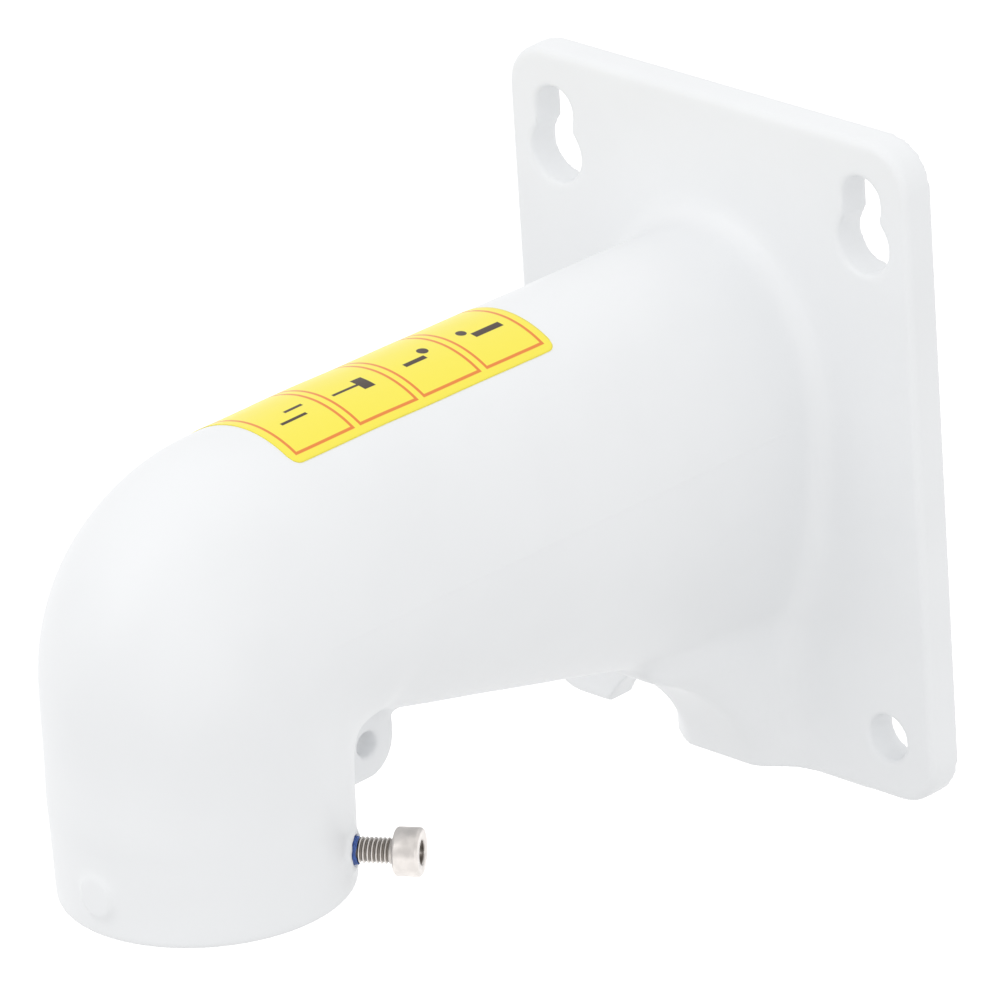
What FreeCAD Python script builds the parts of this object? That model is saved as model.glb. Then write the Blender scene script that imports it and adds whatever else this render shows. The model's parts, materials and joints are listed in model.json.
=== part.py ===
"""Wall bracket for a hanging dome camera, white powder-coated aluminium casting.

One hollow casting makes the wall plate, the arm, the elbow, the gusset below
the arm and the round collar that takes the camera's neck. Two M6 socket screws
with blue thread patches clamp the neck, and a picture label lies on the arm.

Frame: the origin is the centre of the wall plate's back face, +Z is up, the
arm reaches out along -Y, and X runs across the plate. Units are millimetres.
"""
import FreeCAD, Part
import math
import os

V = FreeCAD.Vector
UP = V(0, 0, 1)

# Wall plate: a shallow pan, hollow at the back inside its rim
plate_w = 122.0
plate_h = 162.7
plate_t = 8.5
plate_corner_r = 11.0
plate_edge_r = 2.0
plate_rim = 4.5
plate_recess = 2.2

# Wall screw holes, placed from the plate's own edges
hole_inset_x = 14.0
hole_inset_z = 15.2
hole_r = 5.5
key_inset_z = 25.0
key_eye_r = 7.4
key_slot_r = 5.5
key_travel = 10.4
hole_edge_r = 0.7
hole_pad = 5.0

# Notch for a cable that comes up the wall, beside the gusset
notch_ear = 20.0
notch_rise = 17.0
notch_arc_r = 32.0
notch_into_gusset = 5.0

# Collar that hangs at the end of the arm
collar_reach = 181.0
collar_r = 33.5
collar_bottom = -49.05
collar_draft = 0.025
collar_edge_r = 1.0
bore_r = 27.0
bore_depth = 15.5
bore_lead_in = 1.0
ring_inset = 2.0

# Elbow: radii of its outer, middle and inner corners
elbow_outer_r = 48.5
elbow_middle_r = 16.0
elbow_inner_r = 7.0
elbow_bulge = 0.3

# Arm: heights of its top and underside, and half widths, at elbow and wall
widest_z = 11.65
arm_top_elbow = 53.35
arm_top_wall = 50.45
arm_under_elbow = -22.15
arm_under_wall = -58.15
arm_half_elbow = 32.6
arm_half_wall = 31.0
wall_t = 4.2

# Fillet where the arm and the gusset run into the plate
foot_r = 6.0

# Gusset below the arm: its front swings out from the plate in an oval curve
gusset_flat_half = 8.0
gusset_half = 22.5
gusset_sink = 0.4
gusset_floor = 4.0
gusset_foot_out = 6.0
gusset_swing_out = 44.0
gusset_swing_up = 35.0
gusset_swing_share = 0.9
gusset_power = 1.65
gusset_into_arm = 20.0

# Three clamping bosses round the collar, two of them tapped for screws
boss_count = 3
boss_up = 10.0
boss_r = 5.0
boss_proud = 0.9
boss_edge_r = 0.5
screw_r = 3.0
screw_len = 16.0
screw_show = 8.7
head_r = 5.0
head_h = 6.0
head_edge_r = 0.8
socket_af = 5.0
socket_depth = 3.0
patch_t = 0.2
patch_len = 4.0
patch_show = 1.2
thread_gap = 0.05
patch_gap = 0.02

# Lug with an eye for a safety cord, in the inner corner of the elbow
lug_t = 8.0
lug_out = 23.8
lug_up = 7.9
lug_ring_r = 8.6
eye_r = 3.0

# Picture label on top of the arm
label_len = 84.0
label_w = 39.5
label_t = 0.15
label_gap = 0.02
label_corner_r = 3.0
label_past_axis = 21.0
label_off_x = -4.2

# How finely the curved outlines are drawn
half_steps = 10
elbow_steps = 9
arm_steps = 8
gusset_steps = 6
foot_turns = (0, 30, 60, 80, 90)

# How far a cutting tool runs past what it cuts
past = 5.0


def two_halves(point_at):
    """A closed wire through a full turn of points, split at the widest line."""
    upper = [point_at(math.pi * i / half_steps) for i in range(half_steps + 1)]
    lower = [point_at(math.pi * (1 + i / half_steps)) for i in range(half_steps)]
    lower.append(upper[0])
    edges = []
    for points in (upper, lower):
        curve = Part.BSplineCurve()
        curve.interpolate(Points=points)
        edges.append(curve.toShape())
    return Part.Wire(edges)


def loft(sections):
    return Part.makeLoft(sections, True, False, False, 3)


def collar_radius(z):
    """Outer radius of the collar at height z, with its casting draft."""
    return collar_r + collar_draft * (z - collar_bottom)


# The elbow turns about a line along X, in its inner corner
turn_z = arm_under_elbow - elbow_inner_r
turn_y = -(collar_reach - collar_radius(turn_z)) + elbow_inner_r


def reach_to_corner(angle, wall_y, roof_z, radius):
    """Distance from the turning line to a rounded corner, at an angle above -Y."""
    cosine = math.cos(angle)
    sine = math.sin(angle)
    arc_y = wall_y + radius
    arc_z = roof_z - radius
    if cosine > 1e-6:
        reach = (turn_y - wall_y) / cosine
        if turn_z + reach * sine <= arc_z:
            return reach
    if sine > 1e-6:
        reach = (roof_z - turn_z) / sine
        if turn_y - reach * cosine >= arc_y:
            return reach
    dy = arc_y - turn_y
    dz = arc_z - turn_z
    along = dz * sine - dy * cosine
    return along + math.sqrt(radius ** 2 - (dy ** 2 + dz ** 2 - along ** 2))


def by_half(value, upper, lower):
    """Scale a sine by one height above the widest line and by another below it."""
    return value * (upper if value > 0 else lower)


def collar_section(z, inset):
    radius = collar_radius(z) - inset
    return two_halves(lambda p: V(radius * math.cos(p), -collar_reach - radius * math.sin(p), z))


def elbow_section(degrees, inset):
    """Section in a plane through the turning line, turned from collar to arm."""
    angle = math.radians(degrees)
    outer = reach_to_corner(angle, -(collar_reach + collar_radius(turn_z)), arm_top_elbow, elbow_outer_r)
    middle = reach_to_corner(angle, -collar_reach, widest_z, elbow_middle_r)
    share = degrees / 90.0
    half = collar_radius(turn_z) * (1 - share) + arm_half_elbow * share
    half += elbow_bulge * math.sin(2 * angle) - inset

    def point(p):
        reach = middle + by_half(math.sin(p), outer - middle - inset, middle - elbow_inner_r - inset)
        return V(half * math.cos(p), turn_y - reach * math.cos(angle), turn_z + reach * math.sin(angle))

    return two_halves(point)


def along_arm(y, at_elbow, at_wall):
    """A value that changes evenly from the elbow to the wall."""
    return at_elbow + (at_wall - at_elbow) * (turn_y - y) / turn_y


def arm_section(y, inset):
    half = along_arm(y, arm_half_elbow, arm_half_wall) - inset
    upper = along_arm(y, arm_top_elbow, arm_top_wall) - widest_z - inset
    lower = widest_z - along_arm(y, arm_under_elbow, arm_under_wall) - inset
    return two_halves(lambda p: V(half * math.cos(p), y, widest_z + by_half(math.sin(p), upper, lower)))


def elbow_and_arm(inset, end_y):
    sections = [elbow_section(90 * i / elbow_steps, inset) for i in range(elbow_steps + 1)]
    sections += [arm_section(turn_y + (end_y - turn_y) * i / arm_steps, inset)
                 for i in range(1, arm_steps + 1)]
    return loft(sections)


def collar(inset, start_z):
    """The collar's straight part, up to where the elbow starts."""
    return Part.makeLoft([collar_section(start_z, inset), collar_section(turn_z, inset)], True, True)


def foot():
    """The arm's end, which widens into the plate in a round fillet."""
    sections = []
    for degrees in foot_turns:
        lean = math.radians(degrees)
        y = -plate_t - foot_r * (1 - math.sin(lean))
        sections.append(arm_section(y, -foot_r * (1 - math.cos(lean))))
    return loft(sections)


def join(solids):
    """Fuse solids one after another."""
    joined = solids[0]
    for solid in solids[1:]:
        joined = joined.fuse(solid)
    return joined


def block(size, corner):
    return Part.makeBox(size[0], size[1], size[2], V(*corner))


def rounded_block(width, height, near_y, far_y, radius):
    """A block centred on the Y axis, from far_y to near_y, with rounded corners."""
    solid = block((width, near_y - far_y, height), (-width / 2, far_y, -height / 2))
    edges = [e for e in solid.Edges if e.BoundBox.XLength < 1e-6 and e.BoundBox.ZLength < 1e-6]
    return solid.makeFillet(radius, edges)


def edges_at_y(solid, y):
    return [e for e in solid.Edges if abs(e.BoundBox.YMin - y) < 1e-6 and abs(e.BoundBox.YMax - y) < 1e-6]


def wall_plate():
    """The plate, hollow at the back inside the rim that touches the wall."""
    plate = rounded_block(plate_w, plate_h, 0, -plate_t, plate_corner_r)
    plate = plate.makeFillet(plate_edge_r, edges_at_y(plate, -plate_t))
    width = plate_w - 2 * plate_rim
    height = plate_h - 2 * plate_rim
    pocket = rounded_block(width, height, past, -plate_recess, plate_corner_r - plate_rim)
    for pad in hole_pads():
        pocket = pocket.cut(pad)
    return plate.cut(pocket)


def hole_pads():
    """Full-depth metal left round each wall screw hole."""
    x = plate_w / 2 - hole_inset_x
    low_z = -plate_h / 2 + hole_inset_z
    eye_z = plate_h / 2 - key_inset_z
    places = [(low_z, hole_r), (eye_z, key_eye_r), (eye_z + key_travel, key_slot_r)]
    return [cylinder(radius + hole_pad, V(side * x, 2 * past, z), V(0, -1, 0), 2 * past + plate_t / 2)
            for side in (1, -1) for z, radius in places]


def gusset_outline(z, out, shrink, back_y):
    """Bell outline of the gusset at height z, with flanks that flow into the plate."""
    half = gusset_half - shrink
    points = []
    for i in range(2 * half_steps + 1):
        x = half * (1 - i / half_steps)
        fall = max(0.0, (abs(x) - gusset_flat_half) / (half - gusset_flat_half))
        bell = (1 + math.cos(math.pi * fall)) / 2
        points.append(V(x, gusset_sink - plate_t - (out + gusset_sink) * bell, z))
    curve = Part.BSplineCurve()
    curve.interpolate(Points=points)
    left = V(-half, back_y, z)
    right = V(half, back_y, z)
    return Part.Wire([curve.toShape(), Part.makeLine(points[-1], left), Part.makeLine(left, right),
                      Part.makeLine(right, points[0])])


def gusset_form(shrink, floor, back_y):
    """The gusset's outer form, or with a shrink and a floor the room inside it."""
    sections = []
    for i in range(gusset_steps + 1):
        share = gusset_swing_share * i / gusset_steps
        swing = 1 - (1 - share ** gusset_power) ** (1 / gusset_power)
        out = gusset_foot_out + gusset_swing_out * swing - shrink
        z = -plate_h / 2 + gusset_swing_up * share + floor
        sections.append(gusset_outline(z, out, shrink, back_y))
    sections.append(gusset_outline(z + gusset_into_arm / 2, out, shrink, back_y))
    sections.append(gusset_outline(z + gusset_into_arm, out, shrink, back_y))
    return loft(sections)


def cylinder(radius, start, along, length):
    return Part.makeCylinder(radius, length, start, along)


def rim_edge(solid, centre):
    """The round edge of a turned solid whose centre lies at a point."""
    rims = [e for e in solid.Edges if e.Curve.TypeId == "Part::GeomCircle"]
    return min(rims, key=lambda e: e.Curve.Center.distanceToPoint(centre))


def wall_hole(x, z, radius):
    """A hole through the plate with a rounded front edge."""
    hole = cylinder(radius, V(x, past, z), V(0, -1, 0), plate_t + 2 * past)
    return hole.fuse(Part.makeCone(radius, radius + 2 * hole_edge_r, 2 * hole_edge_r,
                                   V(x, -plate_t + hole_edge_r, z), V(0, -1, 0)))


def keyhole(x):
    """Eye for a screw head with a slot above it."""
    eye_z = plate_h / 2 - key_inset_z
    depth = plate_t + 2 * past
    slot_corner = (x - key_slot_r, -plate_t - past, eye_z)
    slot = block((2 * key_slot_r, depth, key_travel), slot_corner)
    return wall_hole(x, eye_z, key_eye_r).fuse([slot, wall_hole(x, eye_z + key_travel, key_slot_r)])


def wall_holes():
    x = plate_w / 2 - hole_inset_x
    low_z = -plate_h / 2 + hole_inset_z
    return [keyhole(x), keyhole(-x), wall_hole(x, low_z, hole_r), wall_hole(-x, low_z, hole_r)]


def cable_notch():
    """Arch cut from the plate's lower edge, between one ear and the gusset."""
    ear_x = -plate_w / 2 + notch_ear
    top_z = -plate_h / 2 + notch_rise
    arc_z = top_z - notch_arc_r
    half_chord = math.sqrt(notch_arc_r ** 2 - (-plate_h / 2 - arc_z) ** 2)
    arch = cylinder(notch_arc_r, V(ear_x + half_chord, past, arc_z), V(0, -1, 0), plate_t + 2 * past)
    left_x = ear_x - notch_into_gusset
    window = block((notch_into_gusset - gusset_half - left_x, plate_t + 4 * past, notch_rise + past),
                   (left_x, -plate_t - 2 * past, -plate_h / 2 - past))
    return arch.common(window)


def ring():
    """Thick ring at the collar's end, which the screws are tapped through."""
    base = V(0, -collar_reach, collar_bottom)
    outer = cylinder(collar_r - ring_inset, base, UP, bore_depth)
    lead_in = Part.makeCone(bore_r + bore_lead_in, bore_r, bore_lead_in, base, UP)
    return outer.cut(cylinder(bore_r, base, UP, bore_depth)).cut(lead_in)


def outward(index):
    """Direction from the collar's axis to one boss; the first faces the front."""
    angle = -math.pi / 2 + 2 * math.pi * index / boss_count
    return V(math.cos(angle), math.sin(angle), 0)


def boss_face():
    return collar_radius(collar_bottom + boss_up) + boss_proud


def on_boss(index, distance):
    """Point on a boss's axis, at a distance from the collar's axis."""
    return V(0, -collar_reach, collar_bottom + boss_up) + outward(index) * distance


def boss(index):
    """Round boss on the collar; the front one is left blank."""
    start = (bore_r + collar_r) / 2
    solid = cylinder(boss_r, on_boss(index, start), outward(index), boss_face() - start)
    return solid.makeFillet(boss_edge_r, [rim_edge(solid, on_boss(index, boss_face()))])


def tapped_hole(index):
    radius = screw_r + patch_t + thread_gap
    return cylinder(radius, on_boss(index, bore_r / 2), outward(index), collar_r)


def lug():
    """Flat lug with an eye, cast into the elbow's inner corner."""
    eye_y = -collar_reach + collar_radius(collar_bottom) + lug_out - lug_ring_r
    eye_z = collar_bottom + lug_up + lug_ring_r
    eye_at = V(-lug_t / 2, eye_y, eye_z)
    across = V(1, 0, 0)
    rise = arm_under_elbow - eye_z + wall_t / 2
    back = eye_y + collar_reach - collar_radius(eye_z) + wall_t / 2
    solid = cylinder(lug_ring_r, eye_at, across, lug_t)
    solid = solid.fuse([block((lug_t, lug_ring_r, rise), (-lug_t / 2, eye_y, eye_z)),
                        block((lug_t, back, rise + lug_ring_r), (-lug_t / 2, eye_y - back, eye_z - lug_ring_r))])
    return solid, cylinder(eye_r, eye_at - across * past, across, lug_t + 2 * past)


def bracket_body():
    """The whole casting: outer form, hollow, ring, bosses, lug and holes."""
    end = collar(0, collar_bottom)
    end = end.makeFillet(collar_edge_r, [e for e in end.Edges if e.BoundBox.ZMax < collar_bottom + 1e-3])
    arm = elbow_and_arm(0, -plate_t - foot_r)
    lug_solid, eye = lug()
    solid = join([arm, end, foot(), gusset_form(0, 0, -plate_t / 2), wall_plate(), lug_solid])
    hollows = [elbow_and_arm(wall_t, past), collar(wall_t, collar_bottom - past),
               gusset_form(wall_t, gusset_floor, past)]
    for tool in [cable_notch()] + hollows:
        solid = solid.cut(tool)
    solid = join([solid, ring()] + [boss(i) for i in range(boss_count)])
    for tool in [tapped_hole(i) for i in range(1, boss_count)] + [eye] + wall_holes():
        solid = solid.cut(tool)
    return solid


def hexagon_socket(start, along):
    """Hexagonal socket, set into a screw head from its outer face."""
    radius = socket_af / math.sqrt(3)
    side = UP
    other = along.cross(UP)
    points = [start + side * (radius * math.cos(math.pi * i / 3)) + other * (radius * math.sin(math.pi * i / 3))
              for i in range(7)]
    return Part.Face(Part.makePolygon(points)).extrude(along * -socket_depth)


def lock_screw(index):
    """M6 socket screw, turned out far enough to let the camera's neck in."""
    along = outward(index)
    under_head = boss_face() + screw_show
    shank = cylinder(screw_r, on_boss(index, under_head - screw_len), along, screw_len)
    head = cylinder(head_r, on_boss(index, under_head), along, head_h)
    head = head.makeFillet(head_edge_r, [e for e in head.Edges if e.Curve.TypeId == "Part::GeomCircle"])
    return head.fuse(shank).cut(hexagon_socket(on_boss(index, under_head + head_h), along))


def thread_patch(index):
    """Ring of blue locking patch on the screw's thread, part in and part out."""
    end = boss_face() + patch_show
    start = on_boss(index, end - patch_len)
    outer = cylinder(screw_r + patch_t, start, outward(index), patch_len)
    return outer.cut(cylinder(screw_r + patch_gap, start, outward(index), patch_len))


def label():
    """Thin printed label that follows the top of the arm."""
    front_y = -collar_reach + label_past_axis
    height = arm_top_elbow + past - widest_z
    sheet = block((label_w, label_len, height), (label_off_x - label_w / 2, front_y, widest_z))
    corners = [e for e in sheet.Edges if e.BoundBox.ZLength > height / 2]
    sheet = sheet.makeFillet(label_corner_r, corners)
    foot_y = -plate_t - foot_r
    skin = elbow_and_arm(-label_gap - label_t, foot_y).common(sheet)
    return skin.cut(elbow_and_arm(-label_gap, foot_y + past))


def main():
    os.makedirs("parts", exist_ok=True)
    pieces = {"bracket_body": bracket_body(), "label": label()}
    for side, index in (("right", 1), ("left", 2)):
        pieces["lock_screw_" + side] = lock_screw(index)
        pieces["thread_patch_" + side] = thread_patch(index)
    for name, shape in pieces.items():
        shape.exportStep("parts/" + name + ".step")
        print(name, "solids", len(shape.Solids), "valid", shape.isValid(), "volume", round(shape.Volume, 1))


main()
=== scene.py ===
"""Finish for the wall bracket of a hanging dome camera.

A white powder-coated casting, two steel cap screws with blue locking patches
and a yellow printed label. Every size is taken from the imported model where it
has one, and lengths here are metres unless a name ends in _mm.
"""
import json
import math
from functools import reduce

import bmesh
import bpy
import numpy as np
from bpy.props import FloatProperty, FloatVectorProperty, IntProperty, PointerProperty
from mathutils import Matrix, Vector
from mathutils.bvhtree import BVHTree
from mathutils.kdtree import KDTree


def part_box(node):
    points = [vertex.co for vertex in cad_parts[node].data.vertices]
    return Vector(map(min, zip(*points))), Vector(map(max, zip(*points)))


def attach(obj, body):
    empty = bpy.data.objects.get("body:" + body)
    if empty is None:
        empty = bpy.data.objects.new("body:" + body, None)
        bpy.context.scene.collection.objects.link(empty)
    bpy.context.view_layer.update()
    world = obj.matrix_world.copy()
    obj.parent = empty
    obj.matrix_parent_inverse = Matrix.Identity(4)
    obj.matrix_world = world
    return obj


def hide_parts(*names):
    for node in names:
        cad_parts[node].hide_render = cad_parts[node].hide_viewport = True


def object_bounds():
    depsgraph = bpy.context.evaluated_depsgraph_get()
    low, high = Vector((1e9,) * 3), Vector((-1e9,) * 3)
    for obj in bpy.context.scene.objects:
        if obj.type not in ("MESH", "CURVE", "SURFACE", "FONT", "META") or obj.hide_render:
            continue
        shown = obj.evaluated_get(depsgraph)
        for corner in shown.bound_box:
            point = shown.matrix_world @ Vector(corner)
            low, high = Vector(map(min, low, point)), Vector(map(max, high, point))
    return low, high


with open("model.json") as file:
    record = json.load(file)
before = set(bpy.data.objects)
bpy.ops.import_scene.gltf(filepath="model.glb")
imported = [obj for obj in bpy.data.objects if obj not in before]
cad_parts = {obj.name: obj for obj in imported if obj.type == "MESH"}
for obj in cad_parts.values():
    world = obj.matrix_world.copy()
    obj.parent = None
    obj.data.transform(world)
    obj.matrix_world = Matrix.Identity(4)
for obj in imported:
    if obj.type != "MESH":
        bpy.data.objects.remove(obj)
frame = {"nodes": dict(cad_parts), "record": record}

bl_info = {
    "name": "Camera wall bracket",
    "version": (1, 0, 0),
    "blender": (4, 5, 0),
    "location": "3D View > Sidebar > Bracket",
    "description": "Finishes a cast wall bracket with its coating, screws, label and stage",
    "category": "Object",
}

MM = 0.001
UP = Vector((0, 0, 1))
WHITE = (1.0, 1.0, 1.0, 1.0)
CAD_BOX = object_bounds()
COLLAR_AXIS = Vector(next(m["pos_m"] for m in frame["record"]["mounts"] if m["name"] == "collar_bore"))


# Shader maths

class Value:
    """A socket in a node tree. Python's operators add Math nodes behind it."""

    def __init__(self, finish, socket):
        self.finish = finish
        self.socket = socket

    def math(self, operation, *others):
        return self.finish.node("ShaderNodeMath", {"operation": operation}, (self,) + others)

    def output(self, name):
        """Another output of the node that this value comes from."""
        return Value(self.finish, self.socket.node.outputs[name])

    def __add__(self, other):
        return self.math("ADD", other)

    __radd__ = __add__

    def __sub__(self, other):
        return self.math("SUBTRACT", other)

    def __rsub__(self, other):
        return self.finish.node("ShaderNodeMath", {"operation": "SUBTRACT"}, (other, self))

    def __mul__(self, other):
        return self.math("MULTIPLY", other)

    def __truediv__(self, other):
        return self.math("DIVIDE", other)

    def __neg__(self):
        return self.math("MULTIPLY", -1.0)

    def __abs__(self):
        return self.math("ABSOLUTE")

    def smaller(self, other):
        return self.math("MINIMUM", other)

    def larger(self, other):
        return self.math("MAXIMUM", other)

    def root(self):
        return self.math("SQRT")

    def floor(self):
        return self.math("FLOOR")

    def ramp(self, start, end):
        """0 at start, 1 at end, and a smooth step between."""
        sockets = {"Value": self, "From Min": start, "From Max": end}
        return self.finish.node("ShaderNodeMapRange", {"interpolation_type": "SMOOTHSTEP"}, sockets)


class Finish:
    """A material, and the nodes that make it."""

    def __init__(self, name, **constants):
        self.material = bpy.data.materials.new(name)
        self.material.use_nodes = True
        self.tree = self.material.node_tree
        self.shader = self.tree.nodes["Principled BSDF"]
        for socket, value in constants.items():
            self.shader.inputs[socket.replace("_", " ")].default_value = value

    def node(self, kind, settings=None, sockets=(), output=0):
        """Adds a node, sets it up and gives one of its outputs."""
        made = self.tree.nodes.new(kind)
        for name, value in (settings or {}).items():
            setattr(made, name, value)
        pairs = sockets.items() if isinstance(sockets, dict) else enumerate(sockets)
        for key, value in pairs:
            self.feed(made.inputs[key], value)
        return Value(self, made.outputs[output])

    def feed(self, socket, value):
        if isinstance(value, Value):
            self.tree.links.new(value.socket, socket)
        else:
            socket.default_value = value

    def drive(self, **sockets):
        """Links values to the shader's own sockets."""
        for name, value in sockets.items():
            self.feed(self.shader.inputs[name.replace("_", " ")], value)

    def place(self):
        """A surface point in millimetres, as x, y and z values."""
        where = self.node("ShaderNodeTexCoord").output("Object")
        mm = self.node("ShaderNodeVectorMath", {"operation": "SCALE"}, {0: where, "Scale": 1 / MM})
        x = self.node("ShaderNodeSeparateXYZ", sockets=(mm,))
        return mm, x, x.output("Y"), x.output("Z")

    def noise(self, where, size_mm, detail=2.0):
        sockets = {"Vector": where, "Scale": 1 / size_mm, "Detail": detail}
        return self.node("ShaderNodeTexNoise", sockets=sockets)

    def mix(self, share, first, second):
        """A colour that goes from first to second, by the Mix node's colour sockets 6 and 7."""
        sockets = {0: share, 6: first, 7: second}
        return self.node("ShaderNodeMix", {"data_type": "RGBA"}, sockets, output=2)

    def bump(self, height, depth_mm):
        """Small forms in the surface, which tilt its normals."""
        sockets = {"Height": height, "Distance": depth_mm * MM, "Strength": 1.0}
        self.drive(Normal=self.node("ShaderNodeBump", sockets=sockets))


def opaque(colour, level=1.0):
    """A shader's colour at a share of its level, no brighter than white."""
    return (*[min(1.0, c * level) for c in colour], 1.0)


# Meshes

def new_object(name, mesh, finish):
    """A smooth piece that rides with the bracket."""
    piece = bpy.data.objects.new(name, mesh)
    bpy.context.scene.collection.objects.link(piece)
    mesh.materials.clear()
    mesh.materials.append(finish.material)
    mesh.polygons.foreach_set("use_smooth", [True] * len(mesh.polygons))
    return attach(piece, "root")


def vertex_values(mesh, name):
    """A vector of every vertex, such as its place or its normal."""
    values = np.empty(len(mesh.vertices) * 3)
    mesh.vertices.foreach_get(name, values)
    return values.reshape(-1, 3)


def with_modifier(mesh, kind, **settings):
    """A copy of a mesh with one modifier applied."""
    holder = bpy.data.objects.new("holder", mesh)
    bpy.context.scene.collection.objects.link(holder)
    modifier = holder.modifiers.new(kind, kind)
    for name, value in settings.items():
        setattr(modifier, name, value)
    shown = holder.evaluated_get(bpy.context.evaluated_depsgraph_get())
    result = bpy.data.meshes.new_from_object(shown)
    bpy.data.objects.remove(holder)
    return result


def welded(node):
    """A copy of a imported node's mesh with its seams closed."""
    form = bmesh.new()
    form.from_mesh(frame["nodes"][node].data)
    bmesh.ops.remove_doubles(form, verts=form.verts, dist=1e-6)
    mesh = bpy.data.meshes.new(node + "_welded")
    form.to_mesh(mesh)
    form.free()
    return mesh


def neighbour_mean(values, edges):
    """Each point's mean over itself and the points that it shares an edge with."""
    first, second = edges.T
    count = len(values)
    share = 1 + np.bincount(first, minlength=count) + np.bincount(second, minlength=count)
    columns = [column + np.bincount(first, column[second], count) + np.bincount(second, column[first], count)
               for column in values.T]
    return (np.array(columns) / share).T


def relax(values, edges, strength, rounds):
    """Moves values towards those of their neighbours, again and again."""
    for _ in range(rounds):
        values = values + strength * (neighbour_mean(values, edges) - values)
    return values


def rings_mesh(name, rings, capped=True):
    """A mesh through rings of points, with a centre point at each end if it is capped."""
    count = len(rings[0])
    points = [tuple(p) for ring in rings for p in ring]
    faces = []
    for i in range(len(rings) - 1):
        for j in range(count):
            k = (j + 1) % count
            faces.append((i * count + j, i * count + k, (i + 1) * count + k, (i + 1) * count + j))
    for row, turn in ((0, -1), (len(rings) - 1, 1)) if capped else ():
        points.append(tuple(np.mean(rings[row], axis=0)))
        for j in range(count):
            pair = (row * count + j, row * count + (j + 1) % count)
            faces.append((len(points) - 1,) + pair[::turn])
    mesh = bpy.data.meshes.new(name)
    mesh.from_pydata(points, [], faces)
    return mesh


# Casting

class CastingSettings(bpy.types.PropertyGroup):
    grain_mm: FloatProperty(
        name="Grain", description="Spacing of the skin's points, in mm", default=0.7)
    ease: FloatProperty(
        name="Ease", description="Share of the way that a point moves in one round", default=0.5)
    edge_rounds: IntProperty(
        name="Edge rounds", description="How often every edge is eased", default=4)
    fill_rounds: IntProperty(
        name="Fill rounds", description="How often every inner corner is filled", default=14)
    web_rounds: IntProperty(
        name="Web rounds", description="How often the web's wide fillets are filled", default=160)
    web_low_mm: FloatVectorProperty(
        name="Web from", description="Inner low corner of the web's room, in mm",
        default=(9.0, -70.0, -77.0))
    web_high_mm: FloatVectorProperty(
        name="Web to", description="Outer high corner of the web's room, in mm", default=(34.0, -7.4, -22.0))
    web_fade_mm: FloatVectorProperty(
        name="Web fade", description="Width in which its fillets fade out, in mm", default=(8.0, 1.2, 6.0))
    lug_rounds: IntProperty(
        name="Lug rounds", description="How often the fillet over the lug is filled", default=240)
    lug_low_mm: FloatVectorProperty(
        name="Lug from", description="Inner low corner of the lug's room, in mm",
        default=(0.0, -127.0, -31.0))
    lug_high_mm: FloatVectorProperty(
        name="Lug to", description="Outer high corner of the lug's room, in mm", default=(5.0, -112.0, -21.0))
    lug_fade_mm: FloatVectorProperty(
        name="Lug fade", description="Width in which its fillet fades out, in mm", default=(3.0, 4.0, 3.0))
    triangles: IntProperty(
        name="Triangles", description="Most triangles in the finished skin", default=180000)
    colour: FloatVectorProperty(
        name="Coating", description="Powder coat colour", subtype="COLOR", default=(0.868, 0.880, 0.893))
    cloud_mm: FloatProperty(
        name="Clouds", description="Width of the coat's faint clouds, in mm", default=30.0)
    cloud_level: FloatProperty(
        name="Cloud level", description="Share of the colour in a cloud", default=0.985)
    roughness: FloatProperty(
        name="Roughness", description="Powder coat roughness", default=0.42)
    roughness_more: FloatProperty(
        name="Rough clouds", description="Roughness that the clouds add from end to end", default=0.08)
    peel_mm: FloatProperty(
        name="Orange peel", description="Width of the coat's soft waves, in mm", default=1.6)
    peel_depth_mm: FloatProperty(
        name="Peel depth", description="Height of those waves, in mm", default=0.012)
    peel_fine: FloatProperty(
        name="Fine peel", description="Height of the finer waves, as a share of the others", default=0.3)
    seam_front_mm: FloatProperty(
        name="Seam at elbow", description="Height of the parting line there, in mm", default=12.65)
    seam_back_mm: FloatProperty(
        name="Seam at wall", description="Height of the parting line there, in mm", default=9.65)
    seam_long_mm: FloatProperty(
        name="Seam length", description="Length in which it climbs, in mm", default=150.0)
    seam_width_mm: FloatProperty(
        name="Seam width", description="Width of the parting line, in mm", default=0.7)
    seam_depth_mm: FloatProperty(
        name="Seam height", description="Height of the parting line's ridge, in mm", default=0.06)
    seam_side_mm: FloatVectorProperty(
        name="Seam side", description="Distances from the middle where it starts and is full, in mm",
        size=2, default=(20.0, 24.0))
    seam_elbow_mm: FloatVectorProperty(
        name="Seam from", description="Places at the elbow where it starts and is full, in mm",
        size=2, default=(-172.0, -168.0))
    seam_wall_mm: FloatVectorProperty(
        name="Seam to", description="Distances from the wall where it ends and is full, in mm",
        size=2, default=(16.0, 24.0))


def fill_corners(points, edges, normals, strength, rounds):
    """Relaxes points that lie in a hollow and leaves every other point."""
    for _ in range(rounds):
        step = strength * (neighbour_mean(points, edges) - points)
        inward = np.minimum((step * normals).sum(axis=1, keepdims=True), 0)
        points = points + step - inward * normals
    return points


def room_share(points, low, high, fade):
    """1 in a room and its mirror image across X, 0 outside, and a ramp between."""
    halves = np.column_stack([abs(points[:, 0]), points[:, 1:]])
    outside = np.maximum(low - halves, halves - high) / fade
    return np.clip(1 - outside.max(axis=1, keepdims=True), 0, 1)


def fill_room(points, edges, normals, limits_mm, ease, rounds):
    """Wide fillets in the inner corners of one room, given by its low, high and fade."""
    low, high, fade = (np.array(v) * MM for v in limits_mm)
    share = room_share(points, low, high, fade)
    inside = np.flatnonzero(share[:, 0] > 0)
    place = np.full(len(points), -1)
    place[inside] = np.arange(len(inside))
    near = place[edges]
    near = near[(near >= 0).all(axis=1)]
    strength = ease * share[inside]
    points[inside] = fill_corners(points[inside], near, normals[inside], strength, rounds)
    return points


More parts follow.
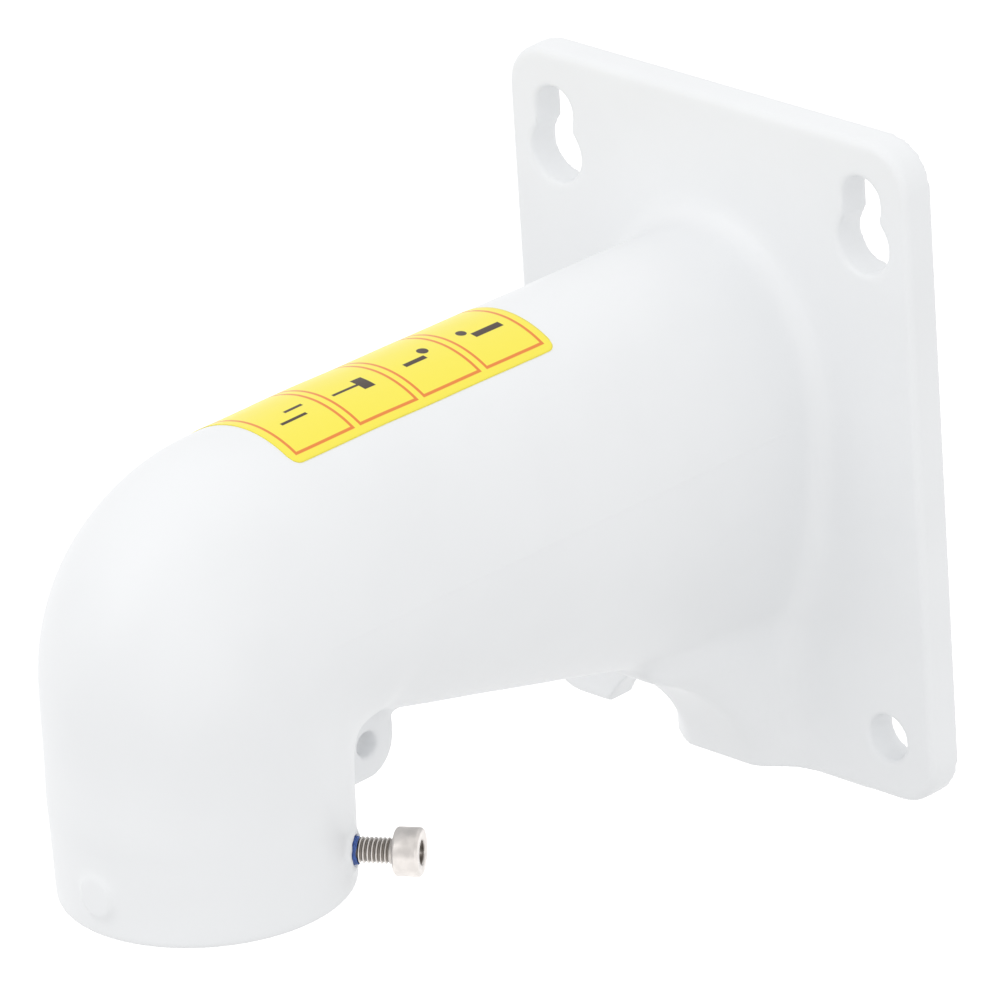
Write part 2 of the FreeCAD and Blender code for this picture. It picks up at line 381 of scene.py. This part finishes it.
def cast_skin(settings):
    """Even mesh of the casting with eased edges and filled inner corners."""
    grain = settings.grain_mm * MM
    ease = settings.ease
    mesh = with_modifier(welded("bracket_body"), "REMESH", mode="VOXEL", voxel_size=grain)
    points = vertex_values(mesh, "co")
    normals = vertex_values(mesh, "normal")
    edges = np.empty(len(mesh.edges) * 2, dtype=np.int64)
    mesh.edges.foreach_get("vertices", edges)
    edges = edges.reshape(-1, 2)
    points = relax(points, edges, ease, settings.edge_rounds)
    points = fill_corners(points, edges, normals, ease, settings.fill_rounds)
    web = (settings.web_low_mm, settings.web_high_mm, settings.web_fade_mm)
    points = fill_room(points, edges, normals, web, ease, settings.web_rounds)
    lug = (settings.lug_low_mm, settings.lug_high_mm, settings.lug_fade_mm)
    points = fill_room(points, edges, normals, lug, ease, settings.lug_rounds)
    points = np.clip(points, *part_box("bracket_body"))
    mesh.vertices.foreach_set("co", points.ravel())
    mesh.update()
    return mesh


def thinned(mesh, triangles):
    """The mesh with fewer triangles, shaded by the full mesh's normals."""
    whole = with_modifier(mesh, "TRIANGULATE")
    thin = with_modifier(whole, "DECIMATE", ratio=min(1.0, triangles / len(whole.polygons)))
    tree = KDTree(len(mesh.vertices))
    for vertex in mesh.vertices:
        tree.insert(vertex.co, vertex.index)
    tree.balance()
    normals = [mesh.vertices[tree.find(v.co)[1]].normal for v in thin.vertices]
    thin.polygons.foreach_set("use_smooth", [True] * len(thin.polygons))
    thin.normals_split_custom_set_from_vertices(normals)
    return thin


def parting_line(settings, x, y, z):
    """1 along the middle of the seam on the arm's two sides, 0 away from it."""
    climb = settings.seam_front_mm - settings.seam_back_mm
    seam_z = settings.seam_back_mm + (-y / settings.seam_long_mm) * climb
    ridge = (1.0 - abs(z - seam_z) / settings.seam_width_mm).larger(0.0)
    sides = abs(x).ramp(*settings.seam_side_mm)
    return ridge * sides * y.ramp(*settings.seam_elbow_mm) * (-y).ramp(*settings.seam_wall_mm)


def coating(settings):
    """White powder coat with orange peel and the mould's parting line."""
    finish = Finish("powder_coat", Roughness=settings.roughness, IOR=1.5)
    where, x, y, z = finish.place()
    peel = finish.noise(where, settings.peel_mm, 1.0)
    fine = finish.noise(where, settings.peel_mm / 4, 1.0)
    seam = parting_line(settings, x, y, z)
    depth = settings.peel_depth_mm
    finish.bump(peel + fine * settings.peel_fine + seam * (settings.seam_depth_mm / depth), depth)
    cloud = finish.noise(where, settings.cloud_mm, 2.0)
    dim = opaque(settings.colour, settings.cloud_level)
    finish.drive(Base_Color=finish.mix(cloud.ramp(0.35, 0.65), dim, opaque(settings.colour)),
                 Roughness=settings.roughness + (cloud - 0.5) * settings.roughness_more)
    return finish


class BRACKET_OT_casting(bpy.types.Operator):
    """Give the casting its eased skin and powder coat"""
    bl_idname = "bracket.casting"
    bl_label = "Coat the casting"

    def execute(self, context):
        settings = context.scene.bracket_casting
        skin = thinned(cast_skin(settings), settings.triangles)
        piece = new_object("cast_body", skin, coating(settings))
        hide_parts("bracket_body")
        return {"FINISHED"}


# Screws

class ScrewSettings(bpy.types.PropertyGroup):
    around: IntProperty(
        name="Points around", description="Points in each ring", default=96)
    rows_per_turn: IntProperty(
        name="Rows", description="Rings of points in one pitch", default=10)
    thread_r_mm: FloatProperty(
        name="Thread radius", description="Outer radius of the thread, in mm", default=3.0)
    pitch_mm: FloatProperty(
        name="Pitch", description="Thread pitch, in mm", default=1.0)
    thread_mm: FloatProperty(
        name="Thread depth", description="Depth of the thread, in mm", default=0.5)
    crest: FloatProperty(
        name="Crest", description="Height where the flanks would meet, in thread depths", default=1.25)
    slope: FloatProperty(
        name="Slope", description="Rise of a flank over one pitch, in thread depths", default=3.2)
    neck_mm: FloatProperty(
        name="Neck", description="Plain length under the head, in mm", default=1.0)
    neck_share: FloatProperty(
        name="Neck depth", description="Share of the thread's depth that the neck lies in it",
        default=0.45)
    head_mm: FloatProperty(
        name="Head height", description="Height of the head, in mm", default=6.0)
    ease_mm: FloatProperty(
        name="Head edge", description="Radius of the head's edges, in mm", default=0.8)
    root_mm: FloatProperty(
        name="Head root", description="Size of the edge under the head, in mm", default=0.1)
    socket_mm: FloatProperty(
        name="Socket", description="Socket size across its flats, in mm", default=5.0)
    socket_deep_mm: FloatProperty(
        name="Socket depth", description="Depth of the socket, in mm", default=3.0)
    mouth: FloatProperty(
        name="Mouth", description="Width of the socket's mouth, as a share of its corners", default=1.06)
    mouth_edge_mm: FloatVectorProperty(
        name="Mouth edge", description="Width and depth of the mouth's edge, in mm",
        size=2, default=(0.05, 0.04))
    chamfer_mm: FloatVectorProperty(
        name="Chamfer", description="Depths of the chamfer's end and of the flats' start, in mm",
        size=2, default=(0.3, 0.4))
    floor_share: FloatProperty(
        name="Socket floor", description="Width of the socket's floor, as a share of its flats",
        default=0.97)
    cone_mm: FloatVectorProperty(
        name="Drill cone", description="Depth of the cone in the floor and radius of its tip, in mm",
        size=2, default=(0.7, 0.4))
    steel: FloatVectorProperty(
        name="Steel", description="Colour of the steel", subtype="COLOR", default=(0.74, 0.70, 0.67))
    # Painted shade: a darker steel colour painted into the thread roots and the hex socket, close to the
    # screw's axis.
    root_shade_colour: FloatVectorProperty(
        name="Dark steel", description="Colour in the thread's roots", subtype="COLOR",
        default=(0.22, 0.20, 0.18))
    # Radii over which the painted shade in the thread roots fades into the plain steel colour.
    shade_full_to_mm: FloatProperty(
        name="Dark to", description="Radius of the darkest thread roots, in mm", default=2.45)
    shade_free_from_mm: FloatProperty(
        name="Bright from", description="Radius where the steel is bright, in mm", default=3.0)
    dim_level: FloatProperty(
        name="Dim steel", description="Share of the steel's colour in a dim cloud", default=0.86)
    cloud_mm: FloatProperty(
        name="Clouds", description="Width of the steel's clouds, in mm", default=2.5)
    marks_mm: FloatProperty(
        name="Turning marks", description="Width of the turning marks, in mm", default=0.12)
    marks_deep_mm: FloatProperty(
        name="Mark depth", description="Depth of the turning marks, in mm", default=0.004)
    roughness: FloatProperty(
        name="Roughness", description="Least roughness of the steel", default=0.24)
    roughness_more: FloatProperty(
        name="Rough marks", description="Roughness that the marks add", default=0.14)
    patch_gap_mm: FloatProperty(
        name="Patch gap", description="Room between thread and locking patch, in mm", default=0.02)
    patch_back_mm: FloatProperty(
        name="Patch end", description="How far the patch ends short of its packed length, in mm",
        default=0.6)
    patch_waves_mm: FloatVectorProperty(
        name="Patch waves", description="Heights of the wide and narrow waves in its end, in mm",
        size=2, default=(0.12, 0.06))
    patch_thin: FloatProperty(
        name="Patch edge", description="Share of its thickness that the patch keeps at its end",
        default=0.15)
    patch_ridge: FloatProperty(
        name="Patch ridges", description="How strongly the thread shows through the patch", default=0.45)
    patch_rows: IntProperty(
        name="Patch rows", description="Rings of points along the patch", default=40)
    blue: FloatVectorProperty(
        name="Patch", description="Colour of the locking patch", subtype="COLOR",
        default=(0.035, 0.085, 0.30))
    blue_levels: FloatVectorProperty(
        name="Patch levels", description="Shares of the patch's colour where it is deep and pale",
        size=2, default=(0.7, 1.5))
    patch_roughness: FloatProperty(
        name="Patch roughness", description="Roughness of the locking patch", default=0.55)
    grain_mm: FloatProperty(
        name="Patch grain", description="Width of the patch's grain, in mm", default=0.35)
    grain_deep_mm: FloatProperty(
        name="Grain depth", description="Depth of that grain, in mm", default=0.02)


class ScrewLine:
    """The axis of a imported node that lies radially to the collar."""

    def __init__(self, node):
        low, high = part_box(node)
        middle = (low + high) / 2
        self.base = Vector((COLLAR_AXIS.x, COLLAR_AXIS.y, middle.z))
        self.along = (middle - self.base).normalized()
        self.side = self.along.cross(UP)
        points = [v.co - self.base for v in frame["nodes"][node].data.vertices]
        reach = [p.dot(self.along) for p in points]
        self.start, self.end = min(reach), max(reach)
        self.radius = max((p - self.along * r).length for p, r in zip(points, reach))

    def point(self, reach, radius, angle):
        return self.base + self.along * reach + (self.side * math.cos(angle) + UP * math.sin(angle)) * radius

    def ring(self, reach, radii, angles):
        return [self.point(reach, radius, angle) for angle, radius in zip(angles, radii)]

    def round_ring(self, reach, radius, angles):
        return self.ring(reach, [radius] * len(angles), angles)


def turns(count):
    return [2 * math.pi * i / count for i in range(count)]


def thread_radius(reach, angle, settings, outer):
    """Radius of the thread's flank at a place along and round the screw."""
    phase = (reach / (settings.pitch_mm * MM) - angle / (2 * math.pi)) % 1.0
    flank = min(1.0, max(0.0, settings.crest - abs(phase - 0.5) * settings.slope))
    return outer - settings.thread_mm * MM * (1 - flank)


def shank_rings(line, settings, outer, neck, neck_at):
    """Threaded rings from the tip up to the plain neck."""
    angles = turns(settings.around)
    step = settings.pitch_mm * MM / settings.rows_per_turn
    tip = settings.thread_mm * MM
    rings = []
    count = int((neck_at - line.start) / step)
    for i in range(count + 1):
        reach = line.start + step * i
        ease = min(1.0, (reach - line.start) / tip)
        fade = min(1.0, max(0.0, (neck_at - reach) / (2 * step)))
        radii = [neck + (thread_radius(reach, a, settings, outer) - neck) * fade for a in angles]
        radii = [min(r, outer - tip * (1 - ease)) for r in radii]
        rings.append(line.ring(reach, radii, angles))
    return rings


def arc_profile(centre_reach, centre_radius, ease, first, last, steps=6):
    """Reach and radius along a rounded edge, between two angles in degrees."""
    profile = []
    for i in range(steps + 1):
        angle = math.radians(first + (last - first) * i / steps)
        profile.append((centre_reach + ease * math.cos(angle), centre_radius + ease * math.sin(angle)))
    return profile


def hexagon_radius(angle, flats):
    """Distance from a hexagon's centre to its side."""
    sector = math.pi / 3
    return flats / 2 / math.cos((angle + sector / 2) % sector - sector / 2)


def head_profile(line, settings, neck, neck_at):
    """Reach and radius over the neck and the head, up to its socket's mouth."""
    ease = settings.ease_mm * MM
    under = line.end - settings.head_mm * MM
    root = settings.root_mm * MM
    mouth = settings.socket_mm * MM / math.sqrt(3) * settings.mouth
    edge_wide, edge_deep = Vector(settings.mouth_edge_mm) * MM
    profile = [(neck_at, neck), (under - root, neck), (under, neck + root)]
    profile += arc_profile(under + ease, line.radius - ease, ease, 180, 90)
    profile += arc_profile(line.end - ease, line.radius - ease, ease, 90, 0)
    return profile + [(line.end, mouth + edge_wide), (line.end - edge_deep, mouth)]


def socket_rings(line, settings, angles):
    """Rings from the chamfered mouth down the hexagon to the drill's cone."""
    floor = line.end - settings.socket_deep_mm * MM
    cone_deep, cone_tip = Vector(settings.cone_mm) * MM
    hexagon = [hexagon_radius(angle, settings.socket_mm * MM) for angle in angles]
    rings = [line.ring(line.end - deep * MM, hexagon, angles) for deep in settings.chamfer_mm]
    rings.append(line.ring(floor, hexagon, angles))
    rings.append(line.ring(floor, [radius * settings.floor_share for radius in hexagon], angles))
    rings.append(line.round_ring(floor - cone_deep, cone_tip, angles))
    return rings


def screw_mesh(node, settings):
    line = ScrewLine(node)
    angles = turns(settings.around)
    outer = settings.thread_r_mm * MM
    neck = outer - settings.thread_mm * MM * settings.neck_share
    neck_at = line.end - (settings.head_mm + settings.neck_mm) * MM
    rings = shank_rings(line, settings, outer, neck, neck_at)
    for reach, radius in head_profile(line, settings, neck, neck_at):
        rings.append(line.round_ring(reach, radius, angles))
    return rings_mesh(node, rings + socket_rings(line, settings, angles))


def from_screw_axis(line, x, y, z):
    """Distance from the axis of the screw on either side, in millimetres."""
    off = abs(x) * line.side.x + (y - line.base.y / MM) * line.side.y
    rise = z - line.base.z / MM
    return (off * off + rise * rise).root()


def turned_steel(settings):
    """Bright steel with fine turning marks, and painted shade that darkens its thread roots and socket."""
    finish = Finish("turned_steel", Metallic=1.0)
    where, x, y, z = finish.place()
    marks = finish.noise(where, settings.marks_mm, 3.0)
    cloud = finish.noise(where, settings.cloud_mm, 2.0)
    # Painted shade: the steel turns darker close to the screw's axis, in the thread roots and the socket, and
    # is plain steel from the crests outward.
    away = from_screw_axis(ScrewLine("lock_screw_right"), x, y, z)
    crest = away.ramp(settings.shade_full_to_mm, settings.shade_free_from_mm)
    root_shade = opaque(settings.root_shade_colour)
    bright = finish.mix(crest, root_shade, opaque(settings.steel))
    dim = finish.mix(crest, root_shade, opaque(settings.steel, settings.dim_level))
    finish.drive(Base_Color=finish.mix(cloud.ramp(0.3, 0.7), dim, bright),
                 Roughness=settings.roughness + marks * settings.roughness_more)
    finish.bump(marks, settings.marks_deep_mm)
    return finish


def patch_point(line, settings, share, angle, inner):
    """A point on the patch's skin, at a share of its length and an angle."""
    wide, narrow = settings.patch_waves_mm
    wave = math.sin(3 * angle + 1.0) * wide + math.sin(7 * angle) * narrow
    short = (wave + settings.patch_back_mm) * MM
    reach = line.start + (line.end - line.start - short) * share
    ridge = thread_radius(reach, angle, settings, 0.0) / (settings.thread_mm * MM)
    full = min(1.0, (1 - share) * 9) ** 0.5
    edge = settings.patch_thin + (1 - settings.patch_thin) * full
    skin = (line.radius - inner) * edge * (1.0 + settings.patch_ridge * ridge)
    return line.point(reach, inner + skin, angle)


def patch_mesh(node, settings):
    """Thin blue skin that lies over the thread, with an uneven edge."""
    line = ScrewLine(node)
    angles = turns(settings.around)
    inner = (settings.thread_r_mm + settings.patch_gap_mm) * MM
    rings = [line.round_ring(line.start, inner, angles)]
    for i in range(settings.patch_rows + 1):
        share = i / settings.patch_rows
        rings.append([patch_point(line, settings, share, angle, inner) for angle in angles])
    inside = []
    for point, angle in zip(rings[-1], angles):
        inside.append(line.point((point - line.base).dot(line.along), inner, angle))
    return rings_mesh(node, rings + [inside, rings[0]], False)


def nylon(settings):
    """Blue nylon with a grain and uneven depth of colour."""
    finish = Finish("nylon_patch", Roughness=settings.patch_roughness)
    grain = finish.noise(finish.place()[0], settings.grain_mm, 3.0)
    deep, pale = (opaque(settings.blue, level) for level in settings.blue_levels)
    finish.drive(Base_Color=finish.mix(grain.ramp(0.3, 0.7), deep, pale))
    finish.bump(grain, settings.grain_deep_mm)
    return finish


class BRACKET_OT_screws(bpy.types.Operator):
    """Make the threaded cap screws and their locking patches"""
    bl_idname = "bracket.screws"
    bl_label = "Make the screws"

    def execute(self, context):
        settings = context.scene.bracket_screws
        steel = turned_steel(settings)
        patch = nylon(settings)
        for side in ("right", "left"):
            mesh = screw_mesh("lock_screw_" + side, settings)
            screw = new_object("cap_screw_" + side, mesh, steel)
            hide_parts("lock_screw_" + side)
            mesh = patch_mesh("thread_patch_" + side, settings)
            skin = new_object("nylon_patch_" + side, mesh, patch)
            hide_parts("thread_patch_" + side)
        return {"FINISHED"}


# Label

PRINT_TILE_MM = 100.0
MARK_EDGE_MM = 0.08


class LabelSettings(bpy.types.PropertyGroup):
    thickness_mm: FloatProperty(
        name="Thickness", description="Thickness of the film, in mm", default=0.15)
    under_mm: FloatProperty(
        name="Room under it", description="Room between the film and the coat, in mm", default=0.01)
    corner_mm: FloatProperty(
        name="Corner", description="Radius of the film's corners, in mm", default=2.5)
    cell_mm: FloatProperty(
        name="Cell", description="Spacing of the film's points, in mm", default=0.5)
    above_mm: FloatProperty(
        name="Drop", description="Height above the bracket that the film comes from, in mm", default=10.0)
    panels: IntProperty(
        name="Panels", description="Framed panels along the label", default=4)
    margin_mm: FloatProperty(
        name="Margin", description="Bare film outside the frames, in mm", default=2.2)
    gap_mm: FloatProperty(
        name="Gap", description="Bare film between two frames, in mm", default=1.6)
    line_mm: FloatProperty(
        name="Line", description="Width of the frame's line, in mm", default=0.8)
    roughness: FloatProperty(
        name="Roughness", description="Roughness of the film", default=0.35)
    yellow: FloatVectorProperty(
        name="Film", description="Colour of the film", subtype="COLOR", default=(0.94, 0.82, 0.072))
    orange: FloatVectorProperty(
        name="Frames", description="Colour of the frames", subtype="COLOR", default=(0.82, 0.23, 0.03))
    brown: FloatVectorProperty(
        name="Marks", description="Colour of the marks", subtype="COLOR", default=(0.040, 0.017, 0.006))


class Coat:
    """The coated casting, as a surface that the film is laid on."""

    def __init__(self, above_mm):
        mesh = bpy.data.objects["cast_body"].data
        points = [vertex.co for vertex in mesh.vertices]
        self.tree = BVHTree.FromPolygons(points, [face.vertices for face in mesh.polygons])
        self.above = CAD_BOX[1].z + above_mm * MM

    def row(self, y, low_x, high_x, count, lift):
        """Points across the arm at one place, lifted off its coat."""
        points = []
        for i in range(count + 1):
            x = low_x + (high_x - low_x) * i / count
            hit, normal, _, _ = self.tree.ray_cast(Vector((x, y, self.above)), -UP)
            points.append(hit + normal * lift)
        return points


def walked(points):
    """Length of the way along a row, up to each of its points."""
    lengths = [0.0]
    for before, after in zip(points, points[1:]):
        lengths.append(lengths[-1] + (after - before).length)
    return lengths


def corner_cut(along, length, radius):
    """How much narrower the film is on each side, near its ends."""
    inside = min(along, length - along)
    if inside >= radius:
        return 0.0
    return radius - math.sqrt(max(0.0, radius ** 2 - (radius - inside) ** 2))


def label_mesh(settings):
    """Film that follows the arm, with its print's coordinates as a UV map."""
    coat = Coat(settings.above_mm)
    low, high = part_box("label")
    length = high.y - low.y
    rows = round(length / (settings.cell_mm * MM))
    count = round((high.x - low.x) / (settings.cell_mm * MM))
    upper, lower, print_at = [], [], []
    for i in range(rows + 1):
        y = low.y + length * i / rows
        cut = corner_cut(y - low.y, length, settings.corner_mm * MM)
        upper.append(coat.row(y, low.x + cut, high.x - cut, count, settings.thickness_mm * MM))
        lower.append(coat.row(y, low.x + cut, high.x - cut, count, settings.under_mm * MM))
        lengths = walked(upper[-1])
        print_at.append([((y - low.y) / MM, (w - lengths[-1]) / MM - cut / MM) for w in lengths])
    return film(upper, lower, print_at)


def film_faces(rows, count):
    """Faces over, under and round the rim of two grids of points."""
    grid = np.arange(rows * count).reshape(rows, count)
    below = grid.size
    faces = []
    for a in grid[:-1, :-1].ravel().tolist():
        faces.append((a, a + count, a + count + 1, a + 1))
        faces.append((below + a, below + a + 1, below + a + count + 1, below + a + count))
    rim = np.concatenate([grid[0], grid[1:, -1], grid[-1, -2::-1], grid[-2:0:-1, 0]]).tolist()
    for a, b in zip(rim, rim[1:] + rim[:1]):
        faces.append((a, b, below + b, below + a))
    return faces


def film(upper, lower, print_at):
    """A closed thin sheet between two grids of points."""
    mesh = bpy.data.meshes.new("label")
    points = [point for row in upper + lower for point in row]
    mesh.from_pydata(points, [], film_faces(len(upper), len(upper[0])))
    layer = mesh.uv_layers.new(name="print")
    places = [place for row in print_at for place in row]
    for loop in mesh.loops:
        u, v = places[loop.vertex_index % len(places)]
        layer.data[loop.index].uv = (u / PRINT_TILE_MM, v / PRINT_TILE_MM)
    return mesh


def print_place(finish, width_mm):
    """Millimetres along the print, and across it from its middle."""
    uv = finish.node("ShaderNodeUVMap", {"uv_map": "print"})
    sockets = {0: uv, "Scale": PRINT_TILE_MM}
    mm = finish.node("ShaderNodeVectorMath", {"operation": "SCALE"}, sockets)
    along = finish.node("ShaderNodeSeparateXYZ", sockets=(mm,))
    return along, along.output("Y") + width_mm / 2


def printed_film(settings, length_mm, width_mm):
    """Yellow film with framed panels that each hold a few plain marks."""
    finish = Finish("printed_film", Roughness=settings.roughness, Coat_Weight=0.05, Coat_Roughness=0.2)
    along, across = print_place(finish, width_mm)
    pitch = (length_mm - 2 * settings.margin_mm + settings.gap_mm) / settings.panels
    moved = along - settings.margin_mm
    index = (moved / pitch).floor().larger(0.0).smaller(settings.panels - 1.0)
    half_long = (pitch - settings.gap_mm) / 2
    half_wide = width_mm / 2 - settings.margin_mm
    u = moved - index * pitch - half_long
    frames = abs((abs(u) - half_long).larger(abs(across) - half_wide) + settings.line_mm / 2)
    framed = 1.0 - frames.ramp(settings.line_mm * 0.4, settings.line_mm * 0.6)
    plain = finish.mix(framed, opaque(settings.yellow), opaque(settings.orange))
    marks = panel_marks(u, across, index)
    finish.drive(Base_Color=finish.mix(marks, plain, opaque(settings.brown)))
    return finish


def disc(u, v, centre, radius):
    away = ((u - centre[0]) * (u - centre[0]) + (v - centre[1]) * (v - centre[1])).root()
    return 1.0 - (away - radius).ramp(-MARK_EDGE_MM, MARK_EDGE_MM)


def bar(u, v, centre, half_long, half_wide):
    outside = (abs(u - centre[0]) - half_long).larger(abs(v - centre[1]) - half_wide)
    return 1.0 - outside.ramp(-MARK_EDGE_MM, MARK_EDGE_MM)


def panel_marks(u, v, index):
    """Two dark plain marks in each panel, in millimetres from its middle."""
    panels = [
        bar(u, v, (-0.5, 11.0), 4.0, 0.45).larger(bar(u, v, (2.8, 7.5), 2.8, 0.45)),
        bar(u, v, (2.6, 9.5), 1.7, 2.4).larger(bar(u, v, (-3.0, 9.5), 4.0, 0.4)),
        bar(u, v, (-1.5, 10.0), 3.4, 0.7).larger(disc(u, v, (3.4, 7.6), 1.4)),
        bar(u, v, (1.5, 10.0), 4.4, 1.0).larger(disc(u, v, (-4.2, 7.4), 1.3)),
    ]
    shown = [mask * (1.0 - abs(index - float(number)).ramp(0.4, 0.6)) for number, mask in enumerate(panels)]
    return reduce(Value.larger, shown)


class BRACKET_OT_label(bpy.types.Operator):
    """Lay the printed label on the arm"""
    bl_idname = "bracket.label"
    bl_label = "Lay the label"

    def execute(self, context):
        settings = context.scene.bracket_label
        mesh = label_mesh(settings)
        uv = np.array([corner.uv for corner in mesh.uv_layers["print"].data]) * PRINT_TILE_MM
        length_mm, width_mm = uv.max(axis=0) - uv.min(axis=0)
        finish = printed_film(settings, length_mm, width_mm)
        piece = new_object("picture_label", mesh, finish)
        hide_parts("label")
        return {"FINISHED"}


# Stage

class StageSettings(bpy.types.PropertyGroup):
    aim_mm: FloatVectorProperty(
        name="Aim", description="Point at the picture's centre, in mm", default=(3.30, -84.79, 9.81))
    azimuth: FloatProperty(
        name="Azimuth", description="Camera's turn round the bracket, in degrees", default=44.608)
    elevation: FloatProperty(
        name="Elevation", description="Camera's height above level, in degrees", default=23.78)
    roll: FloatProperty(
        name="Roll", description="Camera's lean, in degrees", default=-3.689)
    distance: FloatProperty(
        name="Distance", description="Camera's distance from its aim", unit="LENGTH", default=2.76494)
    lens: FloatProperty(
        name="Lens", description="Focal length, in mm", default=444.188)
    sensor: FloatProperty(
        name="Sensor", description="Width of the camera's sensor, in mm", default=36.0)
    nearest: FloatProperty(
        name="Nearest", description="Least distance that the camera sees", unit="LENGTH", default=0.1)
    farthest: FloatProperty(
        name="Farthest", description="Most distance that the camera sees", unit="LENGTH", default=100.0)
    floor_drop: FloatProperty(
        name="Floor drop", description="Floor below the bracket", unit="LENGTH", default=0.25)
    floor_half: FloatProperty(
        name="Floor size", description="Half the floor's width", unit="LENGTH", default=12.0)
    floor_grey: FloatProperty(
        name="Floor", description="Grey of the floor as it lights the bracket", default=0.7)
    floor_glow: FloatProperty(
        name="Floor glow", description="Light that makes the seen floor white", default=0.62)
    sky: FloatProperty(
        name="Sky", description="Level of light from all round", default=1.0)
    key_place: FloatVectorProperty(
        name="Key place", description="Place of the main lamp", subtype="TRANSLATION",
        default=(-0.5, -1.6, 1.3))
    key_size: FloatProperty(
        name="Key size", description="Width of the main lamp", unit="LENGTH", default=1.4)
    key_power: FloatProperty(
        name="Key power", description="Power of the main lamp", unit="POWER", default=3.6)
    fill_place: FloatVectorProperty(
        name="Fill place", description="Place of the second lamp", subtype="TRANSLATION",
        default=(1.8, -0.9, 0.3))
    fill_size: FloatProperty(
        name="Fill size", description="Width of the second lamp", unit="LENGTH", default=1.6)
    fill_power: FloatProperty(
        name="Fill power", description="Power of the second lamp", unit="POWER", default=2.0)


def camera_turn(settings):
    """The way that the camera looks, and its rotation."""
    azimuth = math.radians(settings.azimuth)
    elevation = math.radians(settings.elevation)
    level = math.cos(elevation)
    forward = Vector((-math.sin(azimuth) * level, math.cos(azimuth) * level, -math.sin(elevation)))
    upright = forward.to_track_quat("-Z", "Y").to_matrix()
    return forward, upright @ Matrix.Rotation(math.radians(settings.roll), 3, "Z")


def add_camera(settings):
    data = bpy.data.cameras.new("camera")
    data.lens = settings.lens
    data.sensor_width = settings.sensor
    data.clip_start = settings.nearest
    data.clip_end = settings.farthest
    camera = bpy.data.objects.new("camera", data)
    forward, turn = camera_turn(settings)
    place = Vector(settings.aim_mm) * MM - forward * settings.distance
    camera.matrix_world = Matrix.Translation(place) @ turn.to_4x4()
    bpy.context.scene.collection.objects.link(camera)
    bpy.context.scene.camera = camera


def add_lamp(name, place, aim, size, power):
    data = bpy.data.lights.new(name, "AREA")
    data.shape = "DISK"
    data.size = size
    data.energy = power
    lamp = bpy.data.objects.new(name, data)
    lamp.location = place
    lamp.rotation_euler = (aim - Vector(place)).to_track_quat("-Z", "Y").to_euler()
    bpy.context.scene.collection.objects.link(lamp)


def seen_directly(finish):
    """1 for rays from the camera, a mirror or glass, 0 for the light that falls on things."""
    path = finish.node("ShaderNodeLightPath")
    return path.larger(path.output("Is Glossy Ray")).larger(path.output("Is Transmission Ray"))


def floor_finish(settings):
    """Pale floor that shows white, keeps shadows and can't be seen from below."""
    finish = Finish("pale_floor")
    grey = opaque([settings.floor_grey] * 3)
    matt = finish.node("ShaderNodeBsdfDiffuse", sockets={"Color": grey})
    glow = finish.node("ShaderNodeEmission", sockets={"Color": WHITE, "Strength": settings.floor_glow})
    lit = finish.node("ShaderNodeAddShader", sockets=(matt, glow))
    seen = finish.node("ShaderNodeMixShader", sockets=(seen_directly(finish), matt, lit))
    clear = finish.node("ShaderNodeBsdfTransparent")
    back = finish.node("ShaderNodeNewGeometry").output("Backfacing")
    both = finish.node("ShaderNodeMixShader", sockets=(back, seen, clear))
    finish.tree.nodes.remove(finish.shader)
    finish.feed(finish.tree.nodes["Material Output"].inputs["Surface"], both)
    return finish


def add_floor(settings):
    mesh = bpy.data.meshes.new("floor")
    half = settings.floor_half
    z = CAD_BOX[0].z - settings.floor_drop
    corners = [(-half, -half, z), (half, -half, z), (half, half, z), (-half, half, z)]
    mesh.from_pydata(corners, [], [(0, 1, 2, 3)])
    floor = bpy.data.objects.new("floor", mesh)
    mesh.materials.append(floor_finish(settings).material)
    bpy.context.scene.collection.objects.link(floor)


class SkyFinish(Finish):
    """The world's nodes, made with the same tools as a material's."""

    def __init__(self, world):
        self.tree = world.node_tree


def light_world(settings):
    world = bpy.data.worlds.new("studio")
    world.use_nodes = True
    bpy.context.scene.world = world
    sky = SkyFinish(world)
    seen = seen_directly(sky)
    background = world.node_tree.nodes["Background"]
    background.inputs["Color"].default_value = WHITE
    sky.feed(background.inputs["Strength"], seen + (1.0 - seen) * settings.sky)


class BRACKET_OT_stage(bpy.types.Operator):
    """Set up the floor, the soft lights and the camera"""
    bl_idname = "bracket.stage"
    bl_label = "Set the stage"

    def execute(self, context):
        settings = context.scene.bracket_stage
        add_camera(settings)
        add_floor(settings)
        light_world(settings)
        aim = Vector(settings.aim_mm) * MM
        add_lamp("key", settings.key_place, aim, settings.key_size, settings.key_power)
        add_lamp("fill", settings.fill_place, aim, settings.fill_size, settings.fill_power)
        context.scene.view_settings.view_transform = "Standard"
        return {"FINISHED"}


class BRACKET_PT_panel(bpy.types.Panel):
    """Steps that finish the bracket"""
    bl_label = "Camera wall bracket"
    bl_space_type = "VIEW_3D"
    bl_region_type = "UI"
    bl_category = "Bracket"

    def draw(self, context):
        for operator in OPERATORS:
            self.layout.operator(operator.bl_idname)


SETTINGS = {
    "bracket_casting": CastingSettings,
    "bracket_screws": ScrewSettings,
    "bracket_label": LabelSettings,
    "bracket_stage": StageSettings,
}
OPERATORS = (BRACKET_OT_casting, BRACKET_OT_screws, BRACKET_OT_label, BRACKET_OT_stage)
CLASSES = tuple(SETTINGS.values()) + OPERATORS + (BRACKET_PT_panel,)


def register():
    for kind in CLASSES:
        bpy.utils.register_class(kind)
    for name, kind in SETTINGS.items():
        setattr(bpy.types.Scene, name, PointerProperty(type=kind))


def unregister():
    for name in SETTINGS:
        delattr(bpy.types.Scene, name)
    for kind in reversed(CLASSES):
        bpy.utils.unregister_class(kind)


def main():
    register()
    for operator in OPERATORS:
        module, name = operator.bl_idname.split(".")
        getattr(getattr(bpy.ops, module), name)()


if __name__ == "__main__":
    main()
